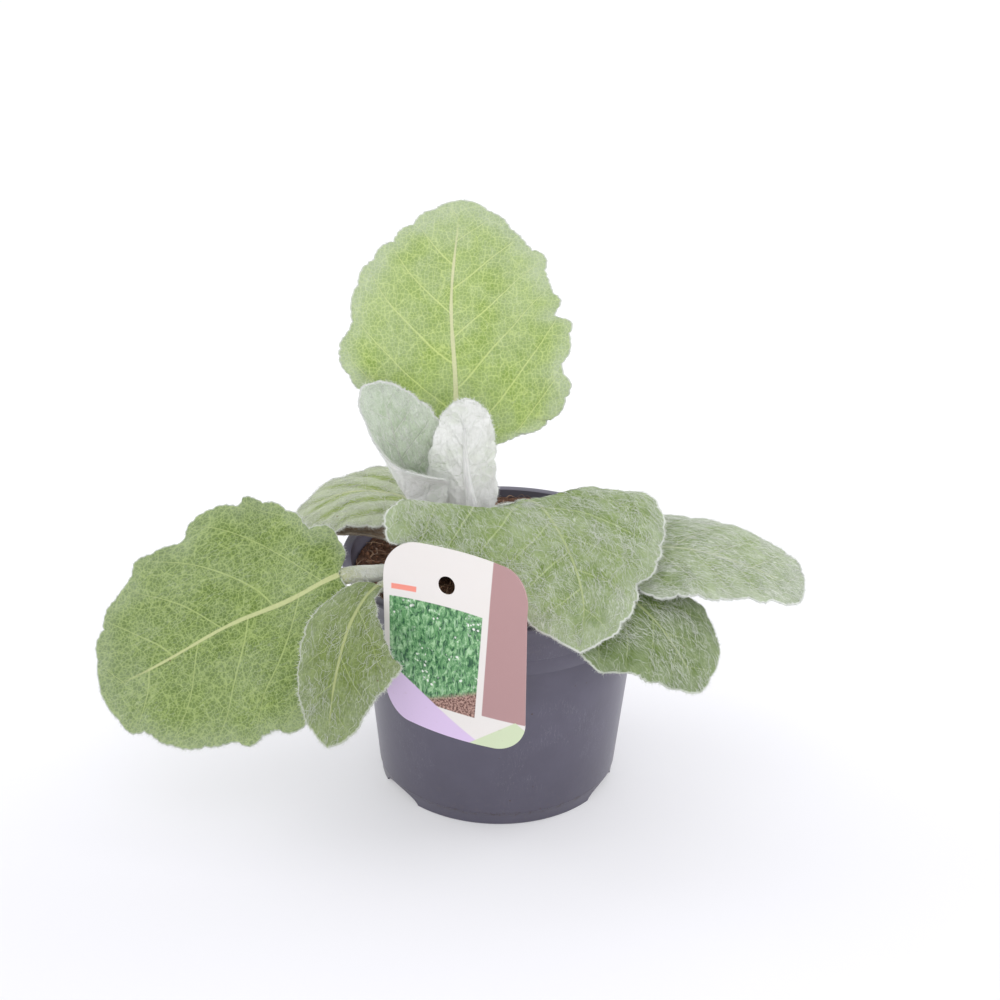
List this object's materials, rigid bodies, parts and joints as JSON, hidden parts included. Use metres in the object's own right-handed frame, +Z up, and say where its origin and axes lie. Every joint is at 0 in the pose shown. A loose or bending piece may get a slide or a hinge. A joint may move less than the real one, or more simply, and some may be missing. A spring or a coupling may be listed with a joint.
{
  "type": "potted plant",
  "caption": "Potted silver sage: a loose rosette of broad woolly grey-green leaves in a round dark plastic nursery pot of soil, with a bent plant label on the rim.",
  "frame": {"origin": "on the pot's axis, on the plane that the pot stands on, at the middle of the flat pad under the pot", "axes": "+Z up along the pot's axis; +X to the right and -Y towards the viewer of the picture, so that the label's side is the front"},
  "size_m": [0.3747, 0.2113, 0.2963],
  "materials": {
    "pot_plastic": "satin",
    "soil": "matte",
    "stem": "matte",
    "leaf_green": "matte",
    "leaf_silver": "matte",
    "leaf_young": "matte",
    "leaf_brown": "matte",
    "label_plastic": "satin"
  },
  "bodies": {
    "root": {"pot": "pot_plastic", "soil": "soil", "crown": "stem", "leaf_back": "leaf_green", "leaf_left": "leaf_green", "leaf_front_left": "leaf_green", "leaf_rear_left": "leaf_silver", "leaf_dry": "leaf_brown", "leaf_young_left": "leaf_young", "leaf_young_right": "leaf_young", "leaf_front_right": "leaf_silver", "leaf_right": "leaf_silver", "leaf_lower_right": "leaf_silver", "label": "label_plastic"}
  },
  "joints": []
}
